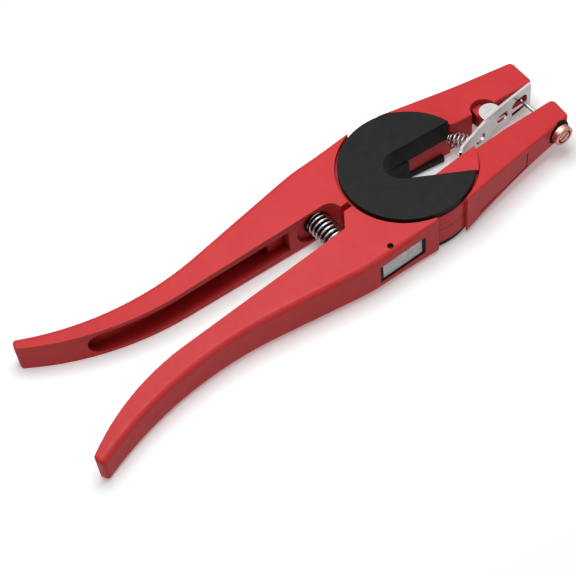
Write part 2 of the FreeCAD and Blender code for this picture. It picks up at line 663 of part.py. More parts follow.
# ---------------------------------------------------------------- springs


def coil(label, radius, wire, turns, length, far_radius=None):
    """A coil along its body's Z axis: a round wire swept on a helix or, with two radii, a cone."""
    body = new_body(label)
    section = sketch_on(body, "wire_section", "XZ", [(radius, wire, wire)])
    helix = body.newObject("PartDesign::AdditiveHelix", "turns")
    helix.Profile = section
    helix.ReferenceAxis = (section, ["V_Axis"])
    helix.Mode = "height-turns-angle"
    bind(helix, Height=f"({length}) - 2*{wire}", Turns=turns)
    if far_radius:
        bind(helix, Angle=f"atan((({far_radius}) - ({radius}))/(({length}) - 2*{wire}))")
    body.Tip = helix
    doc.recompute()
    return body


def handle_spring():
    body = coil("handle_spring", "spring_rad", "spring_wire", "spring_turns", "back_well_y + front_well_y")
    return lifted(body, "spring_x", "-1*front_well_y", "0", V(0, 1, 0))


def clip_spring():
    run = "sqrt((coil_end_x - coil_x)^2 + (coil_end_y - coil_y)^2)"
    body = coil("clip_spring", "coil_small", "coil_wire", "coil_turns", run, "coil_big")
    axis = V(size("coil_end_x - coil_x"), size("coil_end_y - coil_y"), 0)
    return lifted(body, "coil_x", "coil_y", "0", axis)


# ---------------------------------------------------------------- clip plate and its hinge pin


def clip_plate():
    """A bent strip on edge, pierced for lightness and for the needle, with a thumb tab and ears."""
    def leg_point(start, length, tilt, side):
        """A point on one face of the strip, a length along a leg from its start."""
        return (f"{start[0]} + ({length})*cos({tilt}) - {side}*plate_thick/2*sin({tilt})",
                f"{start[1]} + ({length})*sin({tilt}) + {side}*plate_thick/2*cos({tilt})")

    def mitre(point, one, two, side):
        """The corner of one face where two legs meet."""
        half = f"({side}*plate_thick/2/cos(({one} - {two})/2))"
        mean = f"(({one} + {two})/2)"
        return f"{point[0]} - {half}*sin({mean})", f"{point[1]} + {half}*cos({mean})"

    bend = ("bend_x", "bend_y")
    curl = ("(bend_x - rear_leg*cos(rear_leg_tilt))", "(bend_y - rear_leg*sin(rear_leg_tilt))")
    outline = [
        leg_point(bend, "front_leg", "front_leg_tilt", "1"),
        mitre(bend, "front_leg_tilt", "rear_leg_tilt", "1"),
        mitre(curl, "rear_leg_tilt", "curl_tilt", "1"),
        leg_point(curl, "-1*curl_leg", "curl_tilt", "1"),
        leg_point(curl, "-1*curl_leg", "curl_tilt", "-1"),
        mitre(curl, "rear_leg_tilt", "curl_tilt", "-1"),
        mitre(bend, "front_leg_tilt", "rear_leg_tilt", "-1"),
        leg_point(bend, "front_leg", "front_leg_tilt", "-1"),
    ]
    body = new_body("clip_plate")
    pad(body, "strip", "XY", [outline], "2*plate_half", both=True)
    needle_window = [
        ("slot_left", "-1*slot_low"), ("slot_right", "-1*slot_low"),
        ("slot_right", "slot_side", "slot_round"), ("slot_right - slot_round", "slot_top"),
        ("slot_left + slot_round", "slot_top", "slot_round"), ("slot_left", "slot_side"),
    ]
    pocket(body, "needle_window", "XZ", [needle_window])
    for name in ("front_oval", "rear_oval"):
        far_right, far_left = f"{name}_x + {name}_half", f"{name}_x - {name}_half"
        right, left = f"{far_right} - oval_half", f"{far_left} + oval_half"
        oval = [(right, "-1*oval_half", "oval_half"), (far_right, "0", "oval_half"),
                (right, "oval_half"), (left, "oval_half", "oval_half"), (far_left, "0", "oval_half"),
                (left, "-1*oval_half")]
        pocket(body, name, "XZ", [oval])
    pocket(body, "end_hole", "XZ", [("end_hole_x", "0", "end_hole_rad")])
    tab = [("tab_x - tab_rad", "tab_y", "-1*tab_rad"), ("tab_x", "tab_y + tab_rad", "-1*tab_rad"),
           ("tab_x + tab_rad", "tab_y"), ("tab_x + tab_rad", "-0.3"), ("tab_x - tab_rad", "-1.4")]
    pad(body, "thumb_tab", "XY", [tab], "tab_top - tab_low", lift="tab_low")
    ear = [("hinge_x - ear_rad", "hinge_y", "-1*ear_rad"), ("hinge_x", "hinge_y + ear_rad", "-1*ear_rad"),
           ("hinge_x + ear_rad", "hinge_y"), ("hinge_x + ear_rad", "0"), ("hinge_x - ear_rad", "-0.4")]
    for name, low in (("upper_ear", "ear_low"), ("lower_ear", "-1*ear_top")):
        pad(body, name, "XY", [ear], "ear_top - ear_low", lift=low)
    bore = [("hinge_x", "hinge_y", "hinge_pin_rad + run_fit")]
    pocket(body, "pin_bore", "XY", bore, "2*ear_top", lift="ear_top")
    return lifted(body)


def clip_pin():
    body = new_body("clip_pin")
    pad(body, "shank", "XY", [("0", "0", "hinge_pin_rad")], "2*(ear_top + 0.4)", both=True)
    return lifted(body, "hinge_x", "hinge_y")


# ---------------------------------------------------------------- needle, bush, knob and ring

TOWARDS_CLIP = V(0, 1, 0)


def needle():
    """A steel needle with a ground point, in the middle of its bush."""
    profile = [("0", "0"), ("needle_rad", "0"), ("needle_rad", "needle_root + needle_tip_y - needle_cone"),
               ("0", "needle_root + needle_tip_y")]
    body = turned("needle", profile)
    return lifted(body, "needle_x", "-1*needle_root", "0", TOWARDS_CLIP)


def needle_bush():
    """The flanged sleeve that fills the jaw's bore behind the knob's stem."""
    profile = [("needle_rad", "0"), ("bush_rad", "0"), ("bush_rad", "bush_long"), ("needle_rad", "bush_long")]
    body = turned("needle_bush", profile)
    return lifted(body, "needle_x", "-1*needle_root", "0", TOWARDS_CLIP)


def knob_ring():
    body = new_body("knob_ring")
    section = sketch_on(body, "ring_section", "XZ", [("ring_mid", "ring_tube", "ring_tube")])
    feature = body.newObject("PartDesign::Revolution", "ring")
    feature.Profile = section
    feature.ReferenceAxis = (section, ["V_Axis"])
    feature.Angle = 360
    body.Tip = feature
    doc.recompute()
    return lifted(body, "needle_x", "-1*spot_y - 2*ring_tube", "0", TOWARDS_CLIP)


def needle_knob():
    """The knurled head that holds the needle, with its stem in the jaw and a slot in its end."""
    profile = [
        ("0", "0"), ("knob_rad - knob_edge", "0"), ("knob_rad", "knob_edge"), ("knob_rad", "knob_long"),
        ("stem_rad", "knob_long"), ("stem_rad", "knob_long + 2*ring_tube + stem_long"),
        ("0", "knob_long + 2*ring_tube + stem_long"),
    ]
    body = turned("needle_knob", profile)
    slot = [("-1*knob_slot", "-1*knob_slot_long"), ("knob_slot", "-1*knob_slot_long"),
            ("knob_slot", "knob_slot_long"), ("-1*knob_slot", "knob_slot_long")]
    pocket(body, "end_slot", "XY", [slot], "1", ahead=True)
    return lifted(body, "needle_x", "-1*spot_y - 2*ring_tube - knob_long", "0", TOWARDS_CLIP)


# ---------------------------------------------------------------- small parts on the clip arm


def window_plate():
    """The flat plate seen in the front handle's window."""
    body = new_body("window_plate")
    left, right = "window_left + window_end_gap", "window_right - window_end_gap"
    low, top = "window_low + window_side_gap", "window_top - window_side_gap"
    plan = [(left, low), (right, low), (right, top), (left, top)]
    pad(body, "sheet", "XZ", [plan], "window_plate", lift="front_hub_y - window_deep")
    return lifted(body)


def roll_pin():
    body = new_body("roll_pin")
    pad(body, "shank", "XY", [("0", "0", "roll_rad")], "4")
    return lifted(body, "roll_x", "-1*roll_y", "window_top + 0.2")


def disc_screws(label, turns, start):
    """The flat-headed screws of one disc, their heads towards the lower disc's face."""
    body = new_body(label)
    heads = screw_circles(turns, "screw_head - run_fit")
    pad(body, "heads", "XY", heads, "screw_head_tall", lift=f"-1*{start}")
    shanks = screw_circles(turns, "screw_rad")
    pad(body, "shanks", "XY", shanks, f"{start} + screw_reach - 0.2", lift=f"-1*{start}")
    return lifted(body)


# ---------------------------------------------------------------- build, check and write

nodes = [
    needle_arm(), clip_arm(), upper_disc(), lower_disc(),
    disc_screws("upper_disc_screws", UPPER_SCREWS, "ring_top"),
    disc_screws("lower_disc_screws", LOWER_SCREWS, "mid_z"),
    handle_spring(), clip_plate(), clip_pin(), clip_spring(),
    needle(), needle_bush(), knob_ring(), needle_knob(), window_plate(), roll_pin(),
]
doc.recompute()

for thing in doc.Objects:
    if "Invalid" in thing.State or "Error" in thing.State:
        raise RuntimeError(f"{thing.Label} failed: {thing.State}")
for node in nodes:
    if node.Shape.isNull() or not node.Shape.isValid():
        raise RuntimeError(f"{node.Label} has no valid shape")

os.makedirs("parts", exist_ok=True)
for node in nodes:
    node.Shape.exportStep(os.path.join("parts", node.Label + ".step"))
    print(f"{node.Label}: {node.Shape.Volume:.0f} mm3, {len(node.Shape.Solids)} solid(s)")
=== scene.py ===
"""Ear tag applicator: finish, fine detail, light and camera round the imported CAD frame."""
import math

import bmesh
import bpy
from mathutils import Matrix, Vector

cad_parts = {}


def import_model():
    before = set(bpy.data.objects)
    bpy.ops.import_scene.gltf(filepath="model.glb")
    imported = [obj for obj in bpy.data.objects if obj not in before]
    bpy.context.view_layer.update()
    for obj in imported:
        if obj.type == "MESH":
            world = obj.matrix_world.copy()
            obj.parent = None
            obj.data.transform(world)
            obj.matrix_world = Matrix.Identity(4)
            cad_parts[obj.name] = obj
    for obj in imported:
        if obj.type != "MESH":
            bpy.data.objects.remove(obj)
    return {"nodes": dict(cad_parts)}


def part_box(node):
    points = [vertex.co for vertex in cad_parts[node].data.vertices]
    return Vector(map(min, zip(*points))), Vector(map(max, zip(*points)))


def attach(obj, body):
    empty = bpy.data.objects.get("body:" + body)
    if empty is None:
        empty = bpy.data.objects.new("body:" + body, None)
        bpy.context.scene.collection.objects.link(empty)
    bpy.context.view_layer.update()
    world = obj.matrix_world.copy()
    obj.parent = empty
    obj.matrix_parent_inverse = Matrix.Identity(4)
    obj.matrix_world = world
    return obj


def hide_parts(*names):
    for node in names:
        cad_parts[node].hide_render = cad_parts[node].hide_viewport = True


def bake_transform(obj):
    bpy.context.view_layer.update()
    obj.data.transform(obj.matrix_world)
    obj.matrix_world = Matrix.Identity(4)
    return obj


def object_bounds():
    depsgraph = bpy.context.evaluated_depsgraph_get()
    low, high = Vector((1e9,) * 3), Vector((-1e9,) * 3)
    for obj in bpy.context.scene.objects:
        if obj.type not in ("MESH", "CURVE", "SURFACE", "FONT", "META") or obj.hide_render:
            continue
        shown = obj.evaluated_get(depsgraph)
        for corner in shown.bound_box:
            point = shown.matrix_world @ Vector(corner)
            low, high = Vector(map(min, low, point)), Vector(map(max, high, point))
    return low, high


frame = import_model()
cad_low, cad_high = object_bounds()
MM = 0.001
X, Y, Z = Vector((1, 0, 0)), Vector((0, 1, 0)), Vector((0, 0, 1))
MID_Z = (cad_low[2] + cad_high[2]) / 2  # the springs and the knob lie at the tool's mid-height


# ------------------------------------------------------------------ material helpers

# Each kind of mix: its node, the node's settings, its two inputs and its output.
MIXES = {
    "number": ("ShaderNodeMix", {"data_type": "FLOAT"}, (2, 3), 0),
    "colour": ("ShaderNodeMix", {"data_type": "RGBA"}, (6, 7), 2),
    "shader": ("ShaderNodeMixShader", {}, (1, 2), 0),
}


class Nodes:
    """Short calls that add nodes to one tree and feed their inputs."""

    def __init__(self, tree):
        self.tree = tree

    def feed(self, node, inputs):
        """Give each input its value, or link another node's output to it."""
        for key, source in inputs.items():
            if isinstance(source, bpy.types.NodeSocket):
                self.tree.links.new(source, node.inputs[key])
            else:
                node.inputs[key].default_value = source

    def add(self, kind, inputs=None, **settings):
        """A new node with its settings and inputs."""
        node = self.tree.nodes.new(kind)
        for key, value in settings.items():
            setattr(node, key, value)
        self.feed(node, inputs or {})
        return node

    def remap(self, source, old, new=(0.0, 1.0), **settings):
        """The source moved from its old (low, high) range to a new one and held at the ends."""
        inputs = {"Value": source, "From Min": old[0], "From Max": old[1], "To Min": new[0], "To Max": new[1]}
        return self.add("ShaderNodeMapRange", inputs, **settings).outputs["Result"]

    def mix(self, kind, factor, first, second):
        """The first where the factor is 0 and the second where it is 1."""
        node, settings, ends, result = MIXES[kind]
        return self.add(node, {0: factor, ends[0]: first, ends[1]: second}, **settings).outputs[result]


class Finish(Nodes):
    """A Principled material whose colour, roughness and bump come from procedural nodes."""

    def __init__(self, name, **sockets):
        self.material = bpy.data.materials.new(name)
        self.material.use_nodes = True
        super().__init__(self.material.node_tree)
        self.tree.nodes.clear()
        values = {socket.replace("_", " "): value for socket, value in sockets.items()}
        self.shader = self.add("ShaderNodeBsdfPrincipled", values)
        self.add("ShaderNodeOutputMaterial", {"Surface": self.shader.outputs["BSDF"]})
        self.place = self.add("ShaderNodeTexCoord").outputs["Object"]

    def stretched(self, scale):
        """Object coordinates scaled along each axis, for grain that runs one way."""
        return self.add("ShaderNodeMapping", {"Vector": self.place, "Scale": scale}).outputs["Vector"]

    def noise(self, scale, detail=3.0, rough=0.55, along=None):
        inputs = {"Vector": self.place if along is None else along,
                  "Scale": scale, "Detail": detail, "Roughness": rough}
        return self.add("ShaderNodeTexNoise", inputs).outputs[0]

    def ramp(self, source, *stops):
        """A colour ramp of (position, colour) stops."""
        node = self.add("ShaderNodeValToRGB", {"Fac": source})
        elements = node.color_ramp.elements
        while len(elements) < len(stops):
            elements.new(0.5)
        for element, (position, colour) in zip(elements, stops):
            element.position = position
            element.color = (*colour, 1.0)
        return node.outputs["Color"]

    def colour(self, source, *stops):
        self.feed(self.shader, {"Base Color": self.ramp(source, *stops)})

    def paint_shade_in_recesses(self, colour, dark, reach):
        """Painted shade: the colour, turning dark where the piece's own walls stand round the surface, where
        shade would fall.
        """
        recess = self.add("ShaderNodeAmbientOcclusion", {"Distance": reach}, samples=8, only_local=True)
        open_air = self.remap(recess.outputs["AO"], (0.2, 0.7))
        self.feed(self.shader, {"Base Color": self.mix("colour", open_air, (*dark, 1.0), colour)})

    def roughness(self, source, low, high):
        self.feed(self.shader, {"Roughness": self.remap(source, (0.3, 0.7), (low, high))})

    def bump(self, source, depth, strength, soft_edge=None):
        """Raise the surface by the source, over edges softened to a radius if one is given."""
        inputs = {"Height": source, "Distance": depth, "Strength": strength}
        if soft_edge:
            inputs["Normal"] = self.add("ShaderNodeBevel", {"Radius": soft_edge}, samples=6).outputs["Normal"]
        self.feed(self.shader, {"Normal": self.add("ShaderNodeBump", inputs).outputs["Normal"]})


# ------------------------------------------------------------------ finishes


def red_powder_coat():
    """Satin powder coat on an aluminium casting: orange peel, slow random changes of tone, softened
    edges, and painted shade that darkens the colour in the channel and the wells."""
    finish = Finish("red_powder_coat", Specular_IOR_Level=0.24)
    coat = finish.ramp(finish.noise(45, 4, 0.6), (0.3, (0.63, 0.034, 0.037)), (0.5, (0.665, 0.038, 0.042)),
                       (0.72, (0.69, 0.043, 0.047)))
    # painted shade: a deep red laid into the colour in the channel and the wells, within 14 mm of the piece's
    # own walls
    finish.paint_shade_in_recesses(coat, (0.20, 0.008, 0.008), 14 * MM)
    finish.roughness(finish.noise(420, 3), 0.36, 0.50)
    finish.bump(finish.noise(1300, 2, 0.5), 0.06 * MM, 0.35, soft_edge=0.35 * MM)
    return finish.material


def black_nylon():
    """Glass-filled nylon with a fine moulded grain."""
    finish = Finish("black_nylon", Specular_IOR_Level=0.16)
    finish.colour(finish.noise(260, 4), (0.3, (0.0065, 0.0063, 0.0061)), (0.7, (0.0115, 0.0113, 0.0111)))
    finish.roughness(finish.noise(900, 2), 0.42, 0.58)
    finish.bump(finish.noise(2600, 2), 0.05 * MM, 0.35, soft_edge=0.3 * MM)
    return finish.material


def bright_wire():
    """Drawn spring wire with fine streaks."""
    finish = Finish("bright_wire", Metallic=1.0)
    streaks = finish.noise(2200, 3, 0.6, finish.stretched((1.0, 0.35, 1.0)))
    finish.colour(streaks, (0.3, (0.42, 0.415, 0.41)), (0.7, (0.70, 0.695, 0.69)))
    finish.roughness(streaks, 0.14, 0.26)
    finish.bump(streaks, 0.02 * MM, 0.3)
    return finish.material


def chrome_plate():
    """Bright plating over pressed sheet, with slight ripple and fine rubbing marks."""
    finish = Finish("chrome_plate", Metallic=1.0)
    ripple = finish.noise(110, 2, 0.5)
    scuff = finish.noise(900, 4, 0.7, finish.stretched((0.15, 1.0, 1.0)))
    finish.colour(scuff, (0.3, (0.56, 0.55, 0.545)), (0.7, (0.80, 0.795, 0.79)))
    finish.roughness(scuff, 0.09, 0.20)
    finish.bump(ripple, 0.3 * MM, 0.45, soft_edge=0.25 * MM)
    return finish.material


def ground_needle():
    """Ground and hardened steel, its grinding lines round the shaft."""
    finish = Finish("ground_needle", Metallic=1.0)
    lines = finish.noise(1500, 3, 0.6, finish.stretched((0.1, 3.0, 0.1)))
    finish.colour(lines, (0.3, (0.42, 0.42, 0.43)), (0.7, (0.66, 0.66, 0.67)))
    finish.roughness(lines, 0.18, 0.32)
    finish.bump(lines, 0.01 * MM, 0.4)
    return finish.material


def small_steel(name, low, high):
    """Small steel parts with a faint mottle between two shades."""
    finish = Finish(name, Metallic=1.0)
    mottle = finish.noise(700, 4, 0.65)
    finish.colour(mottle, (0.3, low), (0.7, high))
    finish.roughness(mottle, 0.28, 0.44)
    finish.bump(mottle, 0.03 * MM, 0.3, soft_edge=0.2 * MM)
    return finish.material


def grey_sheet():
    """Matt grey sheet, brushed and a little stained."""
    finish = Finish("grey_sheet", Metallic=0.15, Specular_IOR_Level=0.4)
    stain = finish.noise(420, 5, 0.7)
    finish.colour(stain, (0.30, (0.50, 0.485, 0.48)), (0.50, (0.70, 0.685, 0.68)),
                  (0.68, (0.88, 0.875, 0.87)))
    finish.roughness(finish.noise(1400, 3, 0.6, finish.stretched((0.1, 0.1, 1.0))), 0.42, 0.6)
    finish.bump(finish.noise(2000, 2), 0.04 * MM, 0.4)
    return finish.material


def copper_coat(name, low, high):
    """Copper-coloured coat that varies between two shades, as where it is rubbed."""
    finish = Finish(name, Metallic=1.0)
    rubbed = finish.noise(800, 4, 0.6)
    finish.colour(rubbed, (0.3, low), (0.7, high))
    finish.roughness(rubbed, 0.20, 0.34)
    finish.bump(rubbed, 0.03 * MM, 0.25, soft_edge=0.15 * MM)
    return finish.material


def black_rubber():
    """Matt rubber with a fine grain."""
    finish = Finish("black_rubber", Specular_IOR_Level=0.16)
    grain = finish.noise(1500, 3)
    finish.colour(grain, (0.3, (0.0032, 0.0031, 0.003)), (0.7, (0.0075, 0.0073, 0.0071)))
    finish.roughness(grain, 0.5, 0.68)
    finish.bump(grain, 0.03 * MM, 0.4)
    return finish.material


RED = red_powder_coat()
NYLON = black_nylon()
WIRE = bright_wire()
CHROME = chrome_plate()
NEEDLE = ground_needle()
ZINC = small_steel("zinc_plate", (0.42, 0.42, 0.43), (0.68, 0.68, 0.67))
DARK_STEEL = small_steel("dark_steel", (0.010, 0.0095, 0.009), (0.030, 0.028, 0.027))
SHEET = grey_sheet()
COPPER = copper_coat("copper_coat", (0.68, 0.29, 0.24), (0.90, 0.48, 0.41))
# painted shade: a near-black copy of the copper coat, for the floor of the knob's cup
SHADED_COPPER = copper_coat("copper_painted_shade", (0.045, 0.010, 0.009), (0.10, 0.022, 0.019))
RUBBER = black_rubber()

FINISHES = {
    "needle_arm": RED, "clip_arm": RED, "upper_disc": NYLON, "lower_disc": NYLON,
    "upper_disc_screws": ZINC, "lower_disc_screws": ZINC, "handle_spring": WIRE,
    "clip_plate": CHROME, "clip_pin": ZINC, "clip_spring": WIRE, "needle": NEEDLE,
    "needle_bush": ZINC, "knob_ring": RUBBER, "needle_knob": COPPER, "window_plate": SHEET,
    "roll_pin": DARK_STEEL,
}
for name, material in FINISHES.items():
    node = frame["nodes"][name]
    node.data.materials.clear()
    node.data.materials.append(material)


# ------------------------------------------------------------------ mesh helpers


def piece(name, verts, faces, material, smooth=True):
    """A mesh object of one material, its faces turned outward, smooth or with flat faces."""
    mesh = bpy.data.meshes.new(name)
    mesh.from_pydata([tuple(v) for v in verts], [], faces)
    mesh.validate()
    made = bpy.data.objects.new(name, mesh)
    bpy.context.collection.objects.link(made)
    build = bmesh.new()
    build.from_mesh(mesh)
    bmesh.ops.recalc_face_normals(build, faces=build.faces)
    build.to_mesh(mesh)
    build.free()
    mesh.materials.append(material)
    for polygon in mesh.polygons:
        polygon.use_smooth = smooth
    if smooth:
        mesh.set_sharp_from_angle(angle=math.radians(35))
    return made


def swept(path, radius, sides=14):
    """A round wire along a path of points, with flat ends: its vertices and faces."""
    verts, faces = [], []
    normal = Z
    last = len(path) - 1
    for index, point in enumerate(path):
        ahead = (path[min(index + 1, last)] - path[max(index - 1, 0)]).normalized()
        normal = (normal - ahead * normal.dot(ahead)).normalized()
        across = ahead.cross(normal)
        for side in range(sides):
            angle = 2 * math.pi * side / sides
            verts.append(point + (normal * math.cos(angle) + across * math.sin(angle)) * radius)
    for index in range(last):
        for side in range(sides):
            after = (side + 1) % sides
            faces.append((index * sides + side, index * sides + after,
                          (index + 1) * sides + after, (index + 1) * sides + side))
    faces.append(tuple(range(sides)))
    faces.append(tuple(last * sides + side for side in range(sides)))
    return verts, faces


def coil_path(start, end, first_rad, last_rad, turns, wire, closed, flare=1.0):
    """A helix of a wire's radius from start to end, so many turns closed wire to wire at each end.
    Its radius changes from first to last over a share, flare, of the length."""
    axis = (end - start).normalized()
    length = (end - start).length - 2 * wire
    side = axis.cross(Z).normalized()
    up = side.cross(axis)
    tight = closed * 2 * wire
    steps_per_turn = 40
    steps = int(turns * steps_per_turn)
    path = []
    for step in range(steps + 1):
        turn = turns * step / steps
        if turn < closed:
            along = turn * 2 * wire
        elif turn > turns - closed:
            along = length - (turns - turn) * 2 * wire
        else:
            along = tight + (length - 2 * tight) * (turn - closed) / (turns - 2 * closed)
        share = min(1.0, along / (length * flare))
        radius = first_rad + (last_rad - first_rad) * share * share * (3 - 2 * share)
        angle = 2 * math.pi * turn
        spoke = side * math.cos(angle) + up * math.sin(angle)
        path.append(start + axis * (wire + along) + spoke * radius)
    return path


def rings_mesh(rings):
    """Vertices and faces of a stack of equal rings, the last one closed by a face."""
    count = len(rings[0])
    verts = [point for ring in rings for point in ring]
    faces = []
    for level in range(len(rings) - 1):
        for index in range(count):
            after = (index + 1) % count
            faces.append((level * count + index, level * count + after,
                          (level + 1) * count + after, (level + 1) * count + index))
    faces.append(tuple((len(rings) - 1) * count + index for index in range(count)))
    return verts, faces


def ring_at(centre, spoke, other, radius, count):
    """A circle of points, or a closed outline if radius is a function of the angle."""
    points = []
    for index in range(count):
        angle = 2 * math.pi * index / count
        here = radius(angle) if callable(radius) else radius
        points.append(centre + spoke * (math.cos(angle) * here) + other * (math.sin(angle) * here))
    return points


def joined(*parts):
    """Several vertex and face lists as one."""
    verts, faces = [], []
    for more_verts, more_faces in parts:
        offset = len(verts)
        verts += more_verts
        faces += [tuple(index + offset for index in face) for face in more_faces]
    return verts, faces


# ------------------------------------------------------------------ springs


def handle_spring():
    """The coil between the handles, its end turns closed; it is drawn at one length and does not shorten as
    the handles close.
    """
    low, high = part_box("handle_spring")
    towards_pivot, seat_gap = 2.1 * MM, 0.05 * MM
    across = (low.x + high.x) / 2 + towards_pivot
    wire = 0.58 * MM
    coil_rad = 4.8 * MM
    start = Vector((across, low.y, MID_Z))
    end = Vector((across, high.y, MID_Z))
    path = coil_path(start, end, coil_rad, coil_rad, turns=9.5, wire=wire, closed=0.5)
    spring = piece("handle_coil", *swept(path, wire), WIRE)
    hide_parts("handle_spring")
    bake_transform(spring)
    # painted shade: a black cup and peg where the well and the inside of the coil lie in shadow
    spring_shade_seat(across, high.y - seat_gap)


def spring_shade_seat(across, foot_y):
    """Painted shade: a black rubber cup with a peg in the back handle's well, where the well's bottom and the
    coil's inside lie in shadow, so it is black between the coil's turns.
    """
    cup_rad, cup_deep, cup_floor = 5.9 * MM, 1.2 * MM, 0.3 * MM
    cup_inside = cup_rad - 0.45 * MM
    peg_rad, peg_long = 3.7 * MM, 11 * MM
    outline = ((0, cup_rad), (cup_deep, cup_rad), (cup_deep, cup_inside), (cup_floor, cup_inside),
               (cup_floor, peg_rad), (peg_long - 0.8 * MM, peg_rad),
               (peg_long - 0.25 * MM, peg_rad - 0.3 * MM), (peg_long, peg_rad - 0.9 * MM))
    rings = [ring_at(Vector((across, foot_y - rise, MID_Z)), X, Z, radius, 48) for rise, radius in outline]
    seat = piece("spring_shade_seat", *rings_mesh(rings), RUBBER)
    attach(seat, "needle_half")


def clip_spring():
    """The small cone-shaped coil that pushes the clip plate's tail."""
    start = Vector((27.5 * MM, 6.7 * MM, MID_Z))
    end = Vector((32.5 * MM, -2.3 * MM, MID_Z))
    wire, first_rad, last_rad = 0.33 * MM, 1.8 * MM, 3.35 * MM
    path = coil_path(start, end, first_rad, last_rad, turns=6.5, wire=wire, closed=0.8, flare=0.4)
    spring = piece("clip_coil", *swept(path, wire, 12), WIRE)
    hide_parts("clip_spring")
    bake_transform(spring)


# ------------------------------------------------------------------ needle knob and screws


def slotted_screw(centre, foot):
    """The two half-round lands of a slotted screw, from the cup's foot to just below its rim."""
    radius, slot_half, top, bevel, steps = 2.6 * MM, 0.48 * MM, 0.15 * MM, 0.1 * MM, 24
    turned = Matrix.Rotation(math.radians(27), 3, -Y)
    first = math.asin(slot_half / radius)
    levels = ((foot, radius), (top + bevel, radius), (top, 0.95 * radius))
    lands = []
    for side in (1, -1):
        outline = []
        for step in range(steps + 1):
            angle = first + (math.pi - 2 * first) * step / steps
            outline.append(turned @ (X * math.cos(angle) + Z * (math.sin(angle) * side)))
        lands.append(rings_mesh([[centre + Y * along + spoke * reach for spoke in outline]
                                 for along, reach in levels]))
    return lands


def needle_knob():
    """The needle's knob: diamond-knurled rim, cupped end with a slotted screw, plain stem."""
    low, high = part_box("needle_knob")
    centre = Vector(((low.x + high.x) / 2, low.y, MID_Z))
    knob_rad = (high.x - low.x) / 2
    head, stem_rad, cup_rad, cup_deep, edge = 3.0 * MM, 2.4 * MM, 3.3 * MM, 0.90 * MM, 0.12 * MM
    knurl_from, knurl_to, knurl_fade, levels = 0.35 * MM, head - 0.25 * MM, 0.3 * MM, 15
    count, waves, bite = 240, 40, 0.15 * MM

    def ring(along, radius):
        return ring_at(centre + Y * along, X, Z, radius, count)

    def knurled(along):
        """A ring of two crossed waves, which fade out towards the knurl's ends."""
        fade = max(0, min(1.0, (along - knurl_from) / knurl_fade, (knurl_to - along) / knurl_fade))
        lean = along / knob_rad

        def radius(angle):
            crossed = math.cos(waves * (angle + lean)) + math.cos(waves * (angle - lean))
            return knob_rad - bite * (1 - 0.5 * crossed) / 2 * fade

        return ring(along, radius)

    rings = [ring(cup_deep, cup_rad - edge), ring(edge, cup_rad), ring(0, cup_rad + edge),
             ring(0, knob_rad - 0.45 * MM), ring(0.08 * MM, knob_rad - 0.28 * MM),
             ring(knurl_from, knob_rad - 0.02 * MM)]
    rings += [knurled(knurl_from + (knurl_to - knurl_from) * level / levels) for level in range(levels + 1)]
    rings += [ring(head, knob_rad - 0.25 * MM), ring(head, stem_rad), ring(high.y - low.y, stem_rad)]
    knob = piece("knurled_knob", *joined(rings_mesh(rings), *slotted_screw(centre, cup_deep)), COPPER)
    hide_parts("needle_knob")
    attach(knob, "knob")
    # painted shade: a near-black disc on the cup's floor stands for the shadow inside the cup
    floor_ring = ring(cup_deep - 0.02 * MM, cup_rad - edge)
    shade = piece("knob_cup_shade", *rings_mesh([floor_ring]), SHADED_COPPER)
    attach(shade, "knob")


def socket_screws(name, node, body):
    """The two socket-headed screws of one disc, their heads down."""
    low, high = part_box(node)
    count, head_rad, head_tall, chamfer, shank_rad = 36, 2.72 * MM, 1.6 * MM, 0.3 * MM, 1.5 * MM
    hex_half, socket_deep, land_rad = 1.25 * MM, 1.0 * MM, 1.75 * MM
    half_side = math.pi / 6

    def hexagon(angle):
        return hex_half / math.cos((angle + half_side) % (2 * half_side) - half_side)

    levels = ((socket_deep, hexagon), (0, hexagon), (0, land_rad), (0, head_rad - chamfer),
              (chamfer, head_rad), (head_tall, head_rad), (head_tall, shank_rad),
              (high.z - low.z, shank_rad))
    faces = [vertex.co for vertex in frame["nodes"][node].data.vertices
             if vertex.co.z < low.z + 0.1 * MM]
    split = (min(p.x for p in faces) + max(p.x for p in faces)) / 2
    parts = []
    for head in ([p for p in faces if p.x < split], [p for p in faces if p.x >= split]):
        middle = Vector(((min(p.x for p in head) + max(p.x for p in head)) / 2,
                         (min(p.y for p in head) + max(p.y for p in head)) / 2, low.z))
        rings = [ring_at(middle + Z * along, X, Y, radius, count) for along, radius in levels]
        parts += [rings_mesh(rings), rings_mesh(rings[:1])]
    screws = piece(name, *joined(*parts), ZINC)
    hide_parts(node)
    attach(screws, body)


# ------------------------------------------------------------------ window


